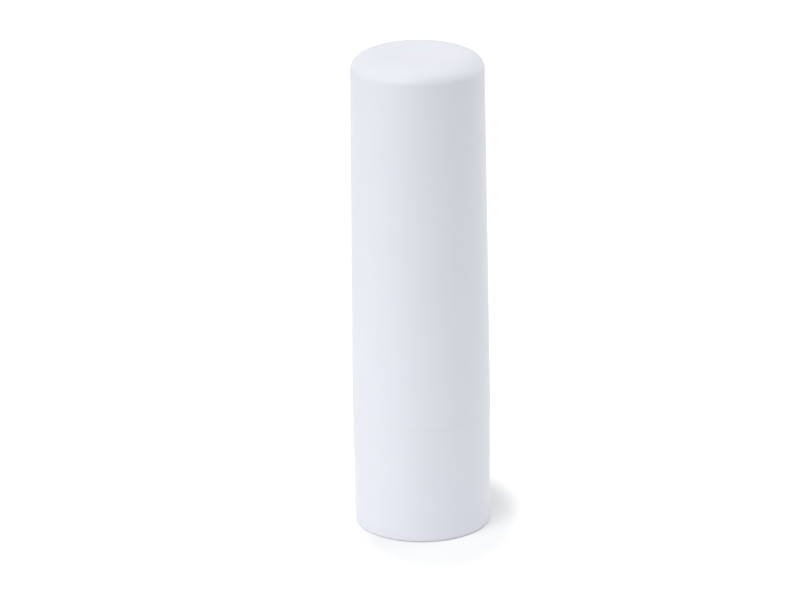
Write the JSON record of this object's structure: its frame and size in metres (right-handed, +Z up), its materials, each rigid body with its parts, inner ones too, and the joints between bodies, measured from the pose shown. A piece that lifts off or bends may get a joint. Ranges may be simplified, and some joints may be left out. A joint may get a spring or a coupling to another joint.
{
  "type": "lip balm stick",
  "caption": "Twist-up lip balm stick: pull-off domed-edge cap, twist base with a drive screw, inner tube, and an elevator that carries the balm.",
  "frame": {"origin": "middle of the foot ring that the stick stands on", "axes": "+Z up along the stick's axis, from the foot to the top of the cap; +X through one of the tube's four guide ribs"},
  "size_m": [0.019, 0.019, 0.067],
  "materials": {
    "white_shell": "satin moulded white polypropylene, faintly bluish",
    "inner_shell": "smooth moulded white polypropylene",
    "mechanism": "moulded natural acetal",
    "balm": "satin cast wax, pale cream"
  },
  "bodies": {
    "base": {"twist_base": "white_shell", "drive_screw": "mechanism"},
    "tube": {"inner_tube": "inner_shell"},
    "carriage": {"elevator": "mechanism", "balm": "balm"},
    "cap": {"cap": "white_shell"}
  },
  "joints": [
    {"name": "twist", "type": "hinge", "parent": "base", "child": "tube", "pos_m": [0, 0, 0.0164], "axis": [0, 0, -1], "range_deg": [0, 2340]},
    {"name": "balm_rise", "type": "slide", "parent": "tube", "child": "carriage", "axis": [0, 0, 1], "range_m": [0, 0.026]},
    {"name": "cap_pull", "type": "slide", "parent": "tube", "child": "cap", "axis": [0, 0, 1], "range_m": [0, 0.055]}
  ],
  "couplings": [
    {"joint": "balm_rise", "follows": "twist", "m_per_rad": 0.00063662}
  ]
}
